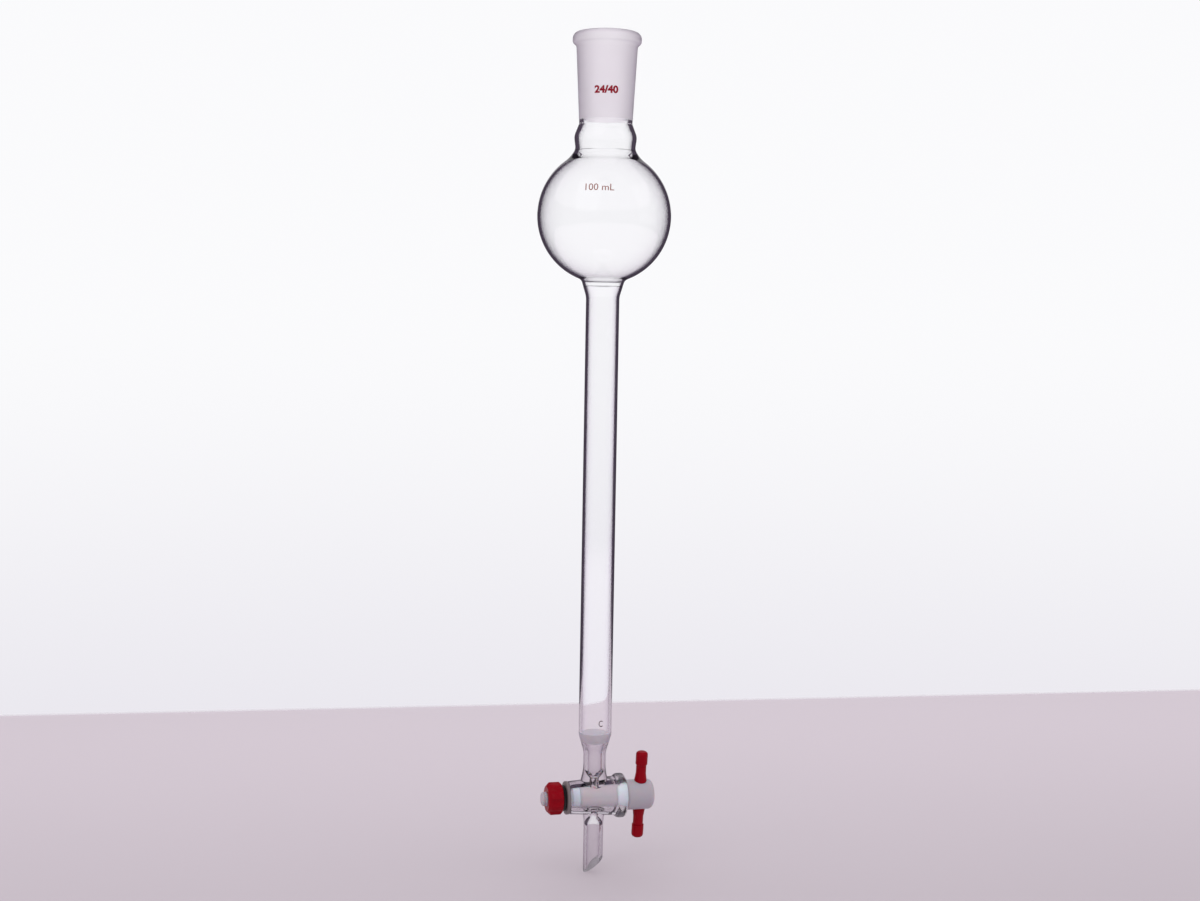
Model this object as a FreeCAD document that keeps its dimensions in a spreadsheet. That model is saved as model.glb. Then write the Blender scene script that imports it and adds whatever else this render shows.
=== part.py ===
"""Glass chromatography column with a round reservoir, a sintered disc and a plastic-plug stopcock.

Millimetres.  The column axis is the Z axis and the top face of the sintered disc is at height zero;
the stopcock lies along X below it, with its handle on the +X side and its tension nut on the -X side.
"""
import FreeCAD, Part
import math
import os
import Sketcher

os.makedirs("parts", exist_ok=True)
doc = FreeCAD.newDocument("column")

SIZES = {
    # column tube and sintered disc
    "column_length": 203.0,
    "tube_outer": 15.0,
    "tube_wall": 1.2,
    "flare_length": 4.5,
    "flare_step": 1.4,
    "disc_thickness": 4.4,
    "disc_taper": 1.1,
    "shoulder_drop": 1.0,
    "foot_wall": 1.3,
    # reservoir
    "reservoir_outer": 60.0,
    "reservoir_wall": 1.2,
    "collar_height": 3.0,
    "collar_step": 0.8,
    "neck_rise": 25.4,
    # neck
    "neck_height": 15.5,
    "neck_bulge": 28.2,
    "neck_waist": 26.7,
    "neck_wall": 1.8,
    "neck_bulge_drop": 5.6,
    "neck_waist_rise": 4.2,
    # ground socket, one in ten on the diameter
    "socket_mouth": 24.0,
    "socket_length": 40.0,
    "taper_ratio": 10.0,
    "socket_foot_outer": 23.8,
    "socket_head_outer": 27.4,
    "rim_outer": 30.8,
    "rim_height": 5.6,
    # stem and stopcock barrel
    "stopcock_drop": 30.0,
    "stem_outer": 10.3,
    "stem_bore": 6.2,
    "stem_foot_outer": 12.0,
    "port": 3.0,
    "barrel_left": 12.3,
    "barrel_right": 14.1,
    "barrel_wall_left": 3.34,
    "barrel_wall_right": 3.735,
    "barrel_bead_step": 1.15,
    "barrel_bead_width": 4.8,
    "plug_waist": 9.4,
    "plug_clearance": 0.04,
    # drip tip
    "tip_outer": 9.0,
    "tip_bore": 6.0,
    "tip_length": 34.7,
    "tip_bevel": 6.9,
    # plug
    "hub_start": 14.9,
    "hub_length": 12.8,
    "hub_step": 1.4,
    "hub_round": 2.6,
    "plug_bore": 2.0,
    "tail_thread": 6.4,
    "tail_end": 24.6,
    "ring_width_handle": 3.3,
    "ring_start_handle": 10.5,
    "ring_width_nut": 3.1,
    "ring_start_nut": 10.6,
    "ring_depth": 0.7,
    "rest_turn": 8.0,
    # handle bar
    "bar_length": 41.6,
    "bar_middle": 5.8,
    "bar_waist": 4.7,
    "bar_cap": 5.5,
    "bar_cap_length": 6.2,
    "bar_place": 21.8,
    # tension washer, ring and nut
    "washer_outer": 15.0,
    "washer_thickness": 1.4,
    "ring_outer": 11.6,
    "ring_thickness": 1.8,
    "nut_outer": 14.7,
    "nut_length": 6.8,
    "nut_chamfer": 1.6,
    "nut_scallops": 8.0,
    "scallop_outer": 4.2,
    "scallop_depth": 0.8,
    "thread_clearance": 0.05,
    "seat_gap": 0.02,
}

sheet = doc.addObject("Spreadsheet::Sheet", "Sizes")
for row, (alias, number) in enumerate(SIZES.items(), start=1):
    sheet.set("A%d" % row, alias)
    sheet.set("B%d" % row, "%.4f" % number)
    sheet.setAlias("B%d" % row, alias)
doc.recompute()


class Size:
    """A number together with the sheet formula it comes from."""

    def __init__(self, value, text):
        self.value = value
        self.text = text

    def __add__(self, other):
        other = as_size(other)
        return Size(self.value + other.value, "(%s + %s)" % (self.text, other.text))

    def __sub__(self, other):
        other = as_size(other)
        return Size(self.value - other.value, "(%s - %s)" % (self.text, other.text))

    def __mul__(self, other):
        other = as_size(other)
        return Size(self.value * other.value, "(%s * %s)" % (self.text, other.text))

    def __truediv__(self, other):
        other = as_size(other)
        return Size(self.value / other.value, "(%s / %s)" % (self.text, other.text))

    def __neg__(self):
        return Size(-self.value, "(0 - %s)" % self.text)


def as_size(thing):
    """Wrap a plain number so that it can stand in a formula."""
    return thing if isinstance(thing, Size) else Size(float(thing), "%.6g" % thing)


def named(alias):
    """A size read from the sheet."""
    return Size(float(sheet.get(alias)), "Sizes.%s" % alias)


def half(alias):
    """Half of a named size: the radius of a named diameter."""
    return named(alias) / 2


def leg(long_side, short_side):
    """The other short side of a right-angled triangle."""
    value = math.sqrt(long_side.value ** 2 - short_side.value ** 2)
    return Size(value, "sqrt(%s ^ 2 - %s ^ 2)" % (long_side.text, short_side.text))


ZERO = Size(0.0, "0")


def origin_plane(body, role):
    """One of the body's own reference planes."""
    return [feature for feature in body.Origin.OriginFeatures if feature.Role == role][0]


def new_body(label):
    """An empty body that carries the part's own label."""
    body = doc.addObject("PartDesign::Body", "body_" + label)
    body.Label = label
    return body


def new_sketch(body, name, role):
    """A sketch laid on one of the body's own planes."""
    sketch = body.newObject("Sketcher::SketchObject", name)
    sketch.AttachmentSupport = [(origin_plane(body, role), "")]
    sketch.MapMode = "FlatFace"
    return sketch


def hold(sketch, kind, axis, geo, vertex, size):
    """Fix one coordinate of a sketch vertex to a size, on the side of the origin where it lies."""
    if abs(size.value) < 1e-9:
        sketch.addConstraint(Sketcher.Constraint("PointOnObject", geo, vertex, axis))
    elif size.value > 0:
        index = sketch.addConstraint(Sketcher.Constraint(kind, -1, 1, geo, vertex, size.value))
        sketch.setExpression("Constraints[%d]" % index, size.text)
    else:
        index = sketch.addConstraint(Sketcher.Constraint(kind, geo, vertex, -1, 1, -size.value))
        sketch.setExpression("Constraints[%d]" % index, (-size).text)


def outline(sketch, corners, curved=()):
    """Draw a closed outline through the corners; the sides listed as curved bend about the V axis.

    A curved side runs from its own corner to the next one, with its centre on the V axis, so two
    corners on the same sphere give a side on that sphere.
    """
    count = len(corners)
    spots = [FreeCAD.Vector(x.value, y.value, 0) for x, y in corners]
    ends = []
    for index in range(count):
        first, last = spots[index], spots[(index + 1) % count]
        if index in curved:
            rise = (last.x ** 2 + last.y ** 2 - first.x ** 2 - first.y ** 2) / (2 * (last.y - first.y))
            centre = FreeCAD.Vector(0, rise, 0)
            circle = Part.Circle(centre, FreeCAD.Vector(0, 0, 1), (first - centre).Length)
            start = math.atan2(first.y - rise, first.x)
            stop = math.atan2(last.y - rise, last.x)
            forward = stop > start
            arc = Part.ArcOfCircle(circle, min(start, stop), max(start, stop))
            geo = sketch.addGeometry(arc, False)
            sketch.addConstraint(Sketcher.Constraint("PointOnObject", geo, 3, -2))
            ends.append((geo, 1, 2) if forward else (geo, 2, 1))
        else:
            geo = sketch.addGeometry(Part.LineSegment(first, last), False)
            ends.append((geo, 1, 2))
    for index in range(count):
        before, here = ends[index - 1], ends[index]
        sketch.addConstraint(Sketcher.Constraint("Coincident", before[0], before[2], here[0], here[1]))
    for (x, y), (geo, vertex, _) in zip(corners, ends):
        hold(sketch, "DistanceX", -2, geo, vertex, x)
        hold(sketch, "DistanceY", -1, geo, vertex, y)


def turned(label, corners, curved=()):
    """A body made by turning a closed outline of (radius, height) corners about its own Z axis."""
    body = new_body(label)
    sketch = new_sketch(body, label + "_outline", "XZ_Plane")
    outline(sketch, corners, curved)
    doc.recompute()
    revolution = body.newObject("PartDesign::Revolution", label + "_turned")
    revolution.Profile = sketch
    revolution.ReferenceAxis = (sketch, ["V_Axis"])
    revolution.Angle = 360.0
    sketch.Visibility = False
    body.Tip = revolution
    doc.recompute()
    return body


def rounded(body, radius, rings):
    """Round the circular edges that lie at the given (radius, height) corners."""
    base = body.Tip
    names = []
    for index, edge in enumerate(base.Shape.Edges, start=1):
        curve = edge.Curve
        if not isinstance(curve, Part.Circle) or abs(curve.Axis.z) < 0.99:
            continue
        for ring, height in rings:
            if abs(curve.Radius - ring.value) < 1e-4 and abs(curve.Center.z - height.value) < 1e-4:
                names.append("Edge%d" % index)
    if len(names) < len(rings):
        raise RuntimeError("%s: edges to round not found" % body.Label)
    fillet = body.newObject("PartDesign::Fillet", body.Label + "_round")
    fillet.Base = (base, names)
    fillet.Radius = radius
    body.Tip = fillet
    doc.recompute()


def cut_through(body, sketch, name):
    """Cut a sketch right through the body, to both sides of its plane."""
    before = body.Tip.Shape.Volume
    doc.recompute()
    pocket = body.newObject("PartDesign::Pocket", name)
    pocket.Profile = sketch
    pocket.Type = "ThroughAll"
    pocket.Midplane = True
    sketch.Visibility = False
    body.Tip = pocket
    doc.recompute()
    if not pocket.Shape.Volume < before:
        raise RuntimeError("%s removed nothing" % name)
    return pocket


def cross_hole(body, name, radius, height):
    """Drill a round hole across the body's own axis, at a height along it."""
    sketch = new_sketch(body, name + "_circle", "YZ_Plane")
    centre = FreeCAD.Vector(0, height.value, 0)
    geo = sketch.addGeometry(Part.Circle(centre, FreeCAD.Vector(0, 0, 1), radius.value), False)
    hold(sketch, "DistanceX", -2, geo, 3, ZERO)
    hold(sketch, "DistanceY", -1, geo, 3, height)
    index = sketch.addConstraint(Sketcher.Constraint("Radius", geo, radius.value))
    sketch.setExpression("Constraints[%d]" % index, radius.text)
    cut_through(body, sketch, name)


def lift(body, height):
    """Stand the body at a height on the column axis."""
    body.setExpression("Placement.Base.z", height.text)


SIDEWAYS = FreeCAD.Rotation(FreeCAD.Vector(0, 1, 0), 90)
UPSIDE_DOWN = FreeCAD.Rotation(FreeCAD.Vector(1, 0, 0), 180)
REST_TURN = FreeCAD.Rotation(FreeCAD.Vector(0, 0, 1), named("rest_turn").value)


def along_stopcock(body, rotation=SIDEWAYS):
    """Lay the body along the stopcock axis, its own +Z towards the handle."""
    body.Placement = FreeCAD.Placement(FreeCAD.Vector(0, 0, 0), rotation)
    body.setExpression("Placement.Base.z", (-named("stopcock_drop")).text)


# radii and heights shared by neighbouring parts
tube_r = half("tube_outer")
tube_bore_r = tube_r - named("tube_wall")
flare_r = tube_r + named("flare_step")
flare_bore_r = flare_r - named("tube_wall")
collar_r = flare_r + named("collar_step")
collar_inner_r = flare_bore_r + named("collar_step")
disc_foot_r = tube_bore_r - named("disc_taper")
foot_outer_r = disc_foot_r + named("foot_wall")
ball_r = half("reservoir_outer")
ball_inner_r = ball_r - named("reservoir_wall")
ball_centre = named("column_length") + named("collar_height") + leg(ball_r, collar_r)
neck_foot_r = leg(ball_r, named("neck_rise"))
neck_foot_inner_r = leg(ball_inner_r, named("neck_rise"))
neck_foot = ball_centre + named("neck_rise")
socket_foot = neck_foot + named("neck_height")
socket_mouth_r = half("socket_mouth")
socket_small_r = (named("socket_mouth") - named("socket_length") / named("taper_ratio")) / 2
socket_foot_r = half("socket_foot_outer")
plug_waist_r = half("plug_waist")
bead_start = named("barrel_right") - named("barrel_bead_width")
tail_r = half("tail_thread")
tail_hole_r = tail_r + named("thread_clearance")


def plug_radius(reach):
    """Radius of the tapered plug at a distance along the stopcock axis."""
    return plug_waist_r + reach / named("taper_ratio") / 2


barrel_left_r = plug_radius(-named("barrel_left")) + named("barrel_wall_left")
barrel_right_r = plug_radius(bead_start) + named("barrel_wall_right")
hub_r = plug_radius(named("hub_start")) + named("hub_step")


def make_ground_socket():
    """Standard ground female joint: tapered bore, thickening wall and a rolled rim."""
    top = named("socket_length")
    under = top - named("rim_height")
    rim_r = half("rim_outer")
    rim_low, rim_high = under + 1.3, top - 1.6
    body = turned("ground_socket", [
        (socket_small_r, ZERO), (socket_foot_r, ZERO), (half("socket_head_outer"), under),
        (rim_r, rim_low), (rim_r, rim_high), (rim_r - 1.3, top), (socket_mouth_r, top)])
    rounded(body, 1.2, [(rim_r, rim_low), (rim_r, rim_high)])
    rounded(body, 0.5, [(rim_r - 1.3, top)])
    lift(body, socket_foot)
    return body


def make_neck():
    """Clear neck that swells below the joint, draws in to a waist and opens into the reservoir."""
    top = named("neck_height")
    high = top - named("neck_bulge_drop")
    low = named("neck_waist_rise")
    bulge, waist = half("neck_bulge"), half("neck_waist")
    wall = named("neck_wall")
    body = turned("neck", [
        (neck_foot_inner_r, ZERO), (neck_foot_r, ZERO), (waist, low), (bulge, high),
        (socket_foot_r - 0.2, top), (socket_small_r, top), (bulge - wall, high), (waist - wall, low)])
    rounded(body, 5.0, [(bulge, high), (bulge - wall, high)])
    rounded(body, 3.5, [(waist, low), (waist - wall, low)])
    lift(body, neck_foot)
    return body


def make_reservoir_bulb():
    """Round reservoir, open to the neck above and drawn in to a short collar below."""
    rise = leg(ball_r, collar_r)
    foot = -(rise + named("collar_height"))
    inner_rise = leg(ball_inner_r, collar_inner_r)
    body = turned("reservoir_bulb", [
        (flare_bore_r, foot), (flare_r, foot), (collar_r, -rise),
        (neck_foot_r, named("neck_rise")), (neck_foot_inner_r, named("neck_rise")),
        (collar_inner_r, -inner_rise)], curved=(2, 4))
    rounded(body, 1.8, [(collar_r, -rise)])
    rounded(body, 1.5, [(collar_inner_r, -inner_rise)])
    lift(body, ball_centre)
    return body


def make_column_tube():
    """Straight tube, flared into the reservoir at its top and drawn in round the disc at its foot."""
    top = named("column_length")
    bend = top - named("flare_length")
    foot = -named("disc_thickness")
    shoulder = -named("shoulder_drop")
    body = turned("column_tube", [
        (disc_foot_r, foot), (foot_outer_r, foot), (tube_r, shoulder), (tube_r, bend),
        (flare_r, top), (flare_bore_r, top), (tube_bore_r, bend), (tube_bore_r, ZERO)])
    rounded(body, 4.0, [(tube_r, bend), (tube_bore_r, bend)])
    rounded(body, 1.5, [(tube_r, shoulder)])
    return body


def make_fritted_disc():
    """Sintered glass disc that narrows downwards with the tube around it."""
    foot = -named("disc_thickness")
    return turned("fritted_disc", [
        (ZERO, foot), (disc_foot_r, foot), (tube_bore_r, ZERO), (ZERO, ZERO)])


def barrel_groove(body, name):
    """Hollow the foot of a stem so that it sits on the outside of the stopcock barrel."""
    before = body.Tip.Shape.Volume
    sketch = new_sketch(body, name + "_profile", "XZ_Plane")
    outline(sketch, [
        (-named("barrel_left"), ZERO), (bead_start, ZERO),
        (bead_start, barrel_right_r), (-named("barrel_left"), barrel_left_r)])
    doc.recompute()
    groove = body.newObject("PartDesign::Groove", name)
    groove.Profile = sketch
    groove.ReferenceAxis = (sketch, ["H_Axis"])
    groove.Angle = 360.0
    sketch.Visibility = False
    body.Tip = groove
    doc.recompute()
    if not groove.Shape.Volume < before:
        raise RuntimeError("%s removed nothing" % name)


def make_lower_taper():
    """Cone and stem from under the disc to the top of the stopcock barrel."""
    top = named("stopcock_drop") - named("disc_thickness")
    stem_r, foot_r = half("stem_outer"), half("stem_foot_outer")
    bore_r, port_r = half("stem_bore"), half("port")
    waist = top - 4.3
    inner_waist = top - 4.9
    floor = barrel_right_r
    body = turned("lower_taper", [
        (port_r, ZERO + 2), (foot_r, ZERO + 2), (foot_r, barrel_right_r - 0.2),
        (stem_r, barrel_right_r + 3.6), (stem_r, waist), (foot_outer_r, top),
        (disc_foot_r, top), (bore_r, inner_waist), (bore_r, floor + 3.2),
        (bore_r - 0.7, floor + 1.2), (port_r, floor)])
    rounded(body, 3.0, [(stem_r, waist), (bore_r, inner_waist)])
    rounded(body, 1.8, [(bore_r, floor + 3.2)])
    rounded(body, 2.5, [(stem_r, barrel_right_r + 3.6)])
    barrel_groove(body, "lower_taper_saddle")
    lift(body, -named("stopcock_drop"))
    return body


def make_drip_tip():
    """Outlet tube below the stopcock, its end ground to a slant with the long side on the nut side."""
    length = named("tip_length")
    tip_r, bore_r, port_r = half("tip_outer"), half("tip_bore"), half("port")
    floor = barrel_right_r
    body = turned("drip_tip", [
        (port_r, ZERO + 2), (tip_r + 0.9, ZERO + 2), (tip_r + 0.9, barrel_right_r - 0.6),
        (tip_r, barrel_right_r + 2.6), (tip_r, length), (bore_r, length),
        (bore_r, floor + 4.4), (bore_r - 0.6, floor + 1.6), (port_r, floor)])
    rounded(body, 3.0, [(bore_r, floor + 4.4)])
    rounded(body, 2.0, [(tip_r, barrel_right_r + 2.6)])
    barrel_groove(body, "drip_tip_saddle")
    sketch = new_sketch(body, "drip_tip_slant", "XZ_Plane")
    slope = named("tip_bevel") / named("tip_outer")
    reach = tip_r + 2
    outline(sketch, [
        (-reach, length + slope * 2), (reach, length - named("tip_bevel") - slope * 2),
        (reach, length + 10), (-reach, length + 10)])
    cut_through(body, sketch, "drip_tip_bevel")
    body.Placement = FreeCAD.Placement(FreeCAD.Vector(0, 0, 0), UPSIDE_DOWN)
    lift(body, -named("stopcock_drop"))
    return body


def make_stopcock_barrel():
    """Tapered cross barrel with a bead on its wide end and a port above and below."""
    left, right = -named("barrel_left"), named("barrel_right")
    gap = named("plug_clearance")
    bead_r = barrel_right_r + named("barrel_bead_step")
    body = turned("stopcock_barrel", [
        (plug_radius(left) + gap, left), (barrel_left_r, left), (barrel_right_r, bead_start),
        (bead_r, bead_start + 0.8), (bead_r, right), (plug_radius(right) + gap, right)])
    rounded(body, 1.8, [(bead_r, bead_start + 0.8), (bead_r, right)])
    rounded(body, 0.9, [(barrel_left_r, left)])
    cross_hole(body, "barrel_port", half("port"), ZERO)
    along_stopcock(body)
    return body


def make_stopcock_plug():
    """Tapered plug: hub for the handle, two seats for the seal rings and a tail for the nut."""
    left = -named("barrel_left") + 0.3
    tail = -named("tail_end")
    hub, hub_end = named("hub_start"), named("hub_start") + named("hub_length")
    depth = named("ring_depth")
    corners = [(ZERO, tail), (tail_r - 0.6, tail), (tail_r, tail + 0.6), (tail_r, left),
               (plug_radius(left), left)]
    for start, stop in seal_ring_spans():
        corners += [(plug_radius(start), start), (plug_radius(start) - depth, start),
                    (plug_radius(stop) - depth, stop), (plug_radius(stop), stop)]
    corners += [(plug_radius(hub), hub), (hub_r, hub), (hub_r, hub_end), (ZERO, hub_end)]
    body = turned("stopcock_plug", corners)
    rounded(body, named("hub_round").value, [(hub_r, hub_end)])
    rounded(body, 0.9, [(hub_r, hub)])
    cross_hole(body, "plug_bore_hole", half("plug_bore"), ZERO)
    cross_hole(body, "plug_handle_hole", half("bar_middle"), named("bar_place"))
    along_stopcock(body, SIDEWAYS.multiply(REST_TURN))
    return body


def seal_ring_spans():
    """Where the two seal rings start and stop along the stopcock axis, nut side first."""
    nut_start = -named("ring_start_nut")
    handle_start = named("ring_start_handle")
    return [(nut_start, nut_start + named("ring_width_nut")),
            (handle_start, handle_start + named("ring_width_handle"))]


def make_seal_ring(label, span):
    """White sealing band seated in the plug, flush with its taper."""
    start, stop = span
    depth = named("ring_depth")
    body = turned(label, [
        (plug_radius(start) - depth, start), (plug_radius(start), start),
        (plug_radius(stop), stop), (plug_radius(stop) - depth, stop)])
    along_stopcock(body)
    return body


def make_handle_bar():
    """Round bar through the hub, waisted on each side, with a grooved cap at each end."""
    end = named("bar_length") / 2
    cap = end - named("bar_cap_length")
    middle_r, waist_r, cap_r = half("bar_middle"), half("bar_waist"), half("bar_cap")
    body = turned("handle_bar", [
        (ZERO, -end), (cap_r, -end), (cap_r, -cap), (waist_r - 0.1, -cap), (waist_r, -cap + 0.9),
        (waist_r, -cap + 4), (middle_r, -hub_r), (middle_r, hub_r),
        (waist_r, cap - 4), (waist_r, cap - 0.9), (waist_r - 0.1, cap), (cap_r, cap),
        (cap_r, end), (ZERO, end)])
    rounded(body, 1.4, [(cap_r, end), (cap_r, -end)])
    rounded(body, 0.4, [(cap_r, cap), (cap_r, -cap)])
    lean = FreeCAD.Rotation(FreeCAD.Vector(1, 0, 0), named("rest_turn").value)
    body.Placement = FreeCAD.Placement(FreeCAD.Vector(0, 0, 0), lean)
    body.setExpression("Placement.Base.x", named("bar_place").text)
    body.setExpression("Placement.Base.z", (-named("stopcock_drop")).text)
    return body


def make_tension_washer():
    """Thin flat washer against the small end of the barrel."""
    stop = -named("barrel_left") - named("seat_gap")
    start = stop - named("washer_thickness")
    washer_r = half("washer_outer")
    body = turned("tension_washer", [
        (tail_hole_r, start), (washer_r, start), (washer_r, stop), (tail_hole_r, stop)])
    rounded(body, 0.3, [(washer_r, start), (washer_r, stop)])
    along_stopcock(body)
    return body


def make_tension_o_ring():
    """Soft ring squeezed between the washer and the nut."""
    stop = -named("barrel_left") - named("seat_gap") - named("washer_thickness")
    start = stop - named("ring_thickness")
    outer = half("ring_outer")
    body = turned("tension_o_ring", [
        (tail_hole_r, start), (outer, start), (outer, stop), (tail_hole_r, stop)])
    rounded(body, 0.6, [(outer, start), (outer, stop)])
    along_stopcock(body)
    return body


def make_tension_nut():
    """Scalloped nut on the threaded tail."""
    stop = -(named("barrel_left") + named("seat_gap") * 2 + named("washer_thickness")
             + named("ring_thickness"))
    start = stop - named("nut_length")
    nut_r, chamfer = half("nut_outer"), named("nut_chamfer")
    body = turned("tension_nut", [
        (tail_hole_r, start), (nut_r - chamfer, start), (nut_r, start + chamfer),
        (nut_r, stop - chamfer / 2), (nut_r - chamfer / 2, stop), (tail_hole_r, stop)])
    sketch = new_sketch(body, "nut_scallop", "XY_Plane")
    scallop_r = half("scallop_outer")
    centre = nut_r + scallop_r - named("scallop_depth")
    spot = FreeCAD.Vector(centre.value, 0, 0)
    geo = sketch.addGeometry(Part.Circle(spot, FreeCAD.Vector(0, 0, 1), scallop_r.value), False)
    hold(sketch, "DistanceX", -2, geo, 3, centre)
    hold(sketch, "DistanceY", -1, geo, 3, ZERO)
    index = sketch.addConstraint(Sketcher.Constraint("Radius", geo, scallop_r.value))
    sketch.setExpression("Constraints[%d]" % index, scallop_r.text)
    pocket = cut_through(body, sketch, "nut_scallop_cut")
    pattern = body.newObject("PartDesign::PolarPattern", "nut_scallops_round")
    pattern.Originals = [pocket]
    pattern.Axis = (sketch, ["N_Axis"])
    pattern.Angle = 360.0
    pattern.setExpression("Occurrences", named("nut_scallops").text)
    body.Tip = pattern
    doc.recompute()
    along_stopcock(body)
    return body


spans = seal_ring_spans()
parts = [
    make_ground_socket(), make_neck(), make_reservoir_bulb(), make_column_tube(),
    make_fritted_disc(), make_lower_taper(), make_drip_tip(), make_stopcock_barrel(),
    make_stopcock_plug(), make_seal_ring("seal_ring_nut_side", spans[0]),
    make_seal_ring("seal_ring_handle_side", spans[1]), make_handle_bar(),
    make_tension_washer(), make_tension_o_ring(), make_tension_nut(),
]
doc.recompute()

for thing in doc.Objects:
    if "Invalid" in thing.State or "Error" in thing.State:
        raise RuntimeError("%s did not build: %s" % (thing.Label, thing.State))
for body in parts:
    shape = body.Shape
    if shape.isNull() or not shape.isValid() or shape.Volume <= 0:
        raise RuntimeError("%s has no sound shape" % body.Label)
    shape.exportStep("parts/%s.step" % body.Label)
    box = shape.BoundBox
    print("%-24s x %.1f..%.1f y %.1f..%.1f z %.1f..%.1f vol %.0f" % (
        body.Label, box.XMin, box.XMax, box.YMin, box.YMax, box.ZMin, box.ZMax, shape.Volume))
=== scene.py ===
"""Looks of a glass chromatography column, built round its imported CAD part.

The glass is rebuilt as smooth turned surfaces, the plastic pieces are smoothed copies of the CAD
solids, and a pale floor with soft studio light stands round them.  Metres, in the row's frame:
+Z up the column, +X along the stopcock towards its handle, -Y towards the viewer.
"""
from __future__ import annotations

import logging
import math
from dataclasses import dataclass, field, replace
from enum import Enum
from functools import partialmethod
from typing import Callable

import bmesh
import bpy
import numpy as np
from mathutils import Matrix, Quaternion, Vector

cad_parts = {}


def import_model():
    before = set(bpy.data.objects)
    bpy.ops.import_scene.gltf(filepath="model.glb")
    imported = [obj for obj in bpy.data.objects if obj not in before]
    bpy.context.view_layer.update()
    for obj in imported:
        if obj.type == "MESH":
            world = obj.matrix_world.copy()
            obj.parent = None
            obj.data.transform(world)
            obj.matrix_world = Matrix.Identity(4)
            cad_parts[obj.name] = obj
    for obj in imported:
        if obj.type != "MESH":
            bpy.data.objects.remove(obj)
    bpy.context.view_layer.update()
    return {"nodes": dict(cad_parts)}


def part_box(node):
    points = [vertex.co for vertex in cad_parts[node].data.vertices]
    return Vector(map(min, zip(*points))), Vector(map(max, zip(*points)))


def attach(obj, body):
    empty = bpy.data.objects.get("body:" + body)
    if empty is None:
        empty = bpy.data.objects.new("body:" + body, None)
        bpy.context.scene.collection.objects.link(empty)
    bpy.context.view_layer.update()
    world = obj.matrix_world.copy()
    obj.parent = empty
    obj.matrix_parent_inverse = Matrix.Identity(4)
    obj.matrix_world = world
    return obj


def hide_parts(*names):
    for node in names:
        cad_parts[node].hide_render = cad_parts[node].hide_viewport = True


LOG = logging.getLogger("column")
MM = 0.001
THREAD_DEPTH = 0.6  # of the pitch
FLOOR_GAP = 0.0003
ROUNDING = 9  # points on a rounded corner
STRAIGHT_STEP = 6.0  # longest step on a straight side, in millimetres
CURVED_STEP = 1.2  # the same on a curved side
LEVEL_FACE = 0.9  # least rise of the normal of a face that takes grains
LETTER_STEP = 0.12  # longest edge of a letter before it is bent, in letter sizes
INK_LIFT, INK_DEPTH = 0.02, 0.03  # in millimetres
Mesh = bpy.types.Mesh
Pair = tuple[float, float]
Triple = tuple[float, float, float]
Rgba = tuple[float, float, float, float]


class Axis(Enum):
    """The way a turned piece lies."""

    COLUMN = "along the column"
    STOPCOCK = "along the stopcock"


@dataclass(frozen=True)
class Finish:
    """How one material looks.

    Attributes:
        name: Material name.
        color: Linear base colour.
        roughness: Middle roughness.
        spread: How far the roughness wanders on each side of the middle.
        transmission: Share of light let through.
        ior: Index of refraction.
        specular: Strength of the surface reflection, 0.5 for an everyday plastic.
        coat: Weight of the clear coat.
        subsurface: Weight of the scattering under the surface.
        reach: Distance the scattered light travels, in metres.
        grain: Size of the surface grain, in metres.
        relief: Height of the surface grain, in metres.
        edge: Linear colour of the painted shade at glancing angles, or None for the same colour everywhere.
        edge_power: How tightly the painted edge shade keeps to glancing angles.
        pitch: Rise of a screw thread along X, in metres, or 0 for no thread.
        thread_level: Height of the thread's axis, in metres.
    """

    name: str
    color: Triple
    roughness: float
    spread: float = 0.02
    transmission: float = 0.0
    ior: float = 1.45
    specular: float = 0.5
    coat: float = 0.0
    subsurface: float = 0.0
    reach: float = 0.001
    grain: float = 0.004
    relief: float = 0.0
    edge: Triple | None = None
    edge_power: float = 4.0
    pitch: float = 0.0
    thread_level: float = 0.0


# Glass finishes darken towards glancing angles with their edge colour: painted shade for the dark edges of
# glass.
CLEAR = Finish("clear_glass", (0.995, 0.995, 1.0), 0.01, 0.01, 1.0, 1.474, grain=0.03,
               specular=0.2, relief=0.00001, edge=(0.015, 0.006, 0.02), edge_power=7.0)
TUBE = replace(CLEAR, name="tube_glass", edge_power=3.0)
# Same glass as the tube, greyed below the disc: painted shade for the darker stem and tip.
STEM_SHADE_GLASS = replace(CLEAR, name="stem_glass_painted_shade", color=(0.86, 0.842, 0.861), edge_power=2.3)
BEAD = replace(STEM_SHADE_GLASS, name="bead_glass", color=(0.98, 0.97, 0.98), roughness=0.2, edge_power=6.0)
# The frosted joint's edge colour is painted shade, darker at glancing angles.
GROUND = Finish("ground_glass", (0.815, 0.787, 0.812), 0.6, 0.06, 0.8, 1.474, grain=0.0004,
                relief=0.00002, edge=(0.20, 0.15, 0.22), edge_power=1.6)
SINTERED = Finish("sintered_glass", (0.60, 0.53, 0.59), 0.8, 0.1, 0.0, 1.474, subsurface=0.3,
                  reach=0.0008, grain=0.0006, relief=0.0002)
PLUG = Finish("plug_plastic", (0.43, 0.395, 0.445), 0.38, 0.05, 0.0, 1.38, subsurface=0.6,
              reach=0.003, grain=0.002, relief=0.00001)
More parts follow.
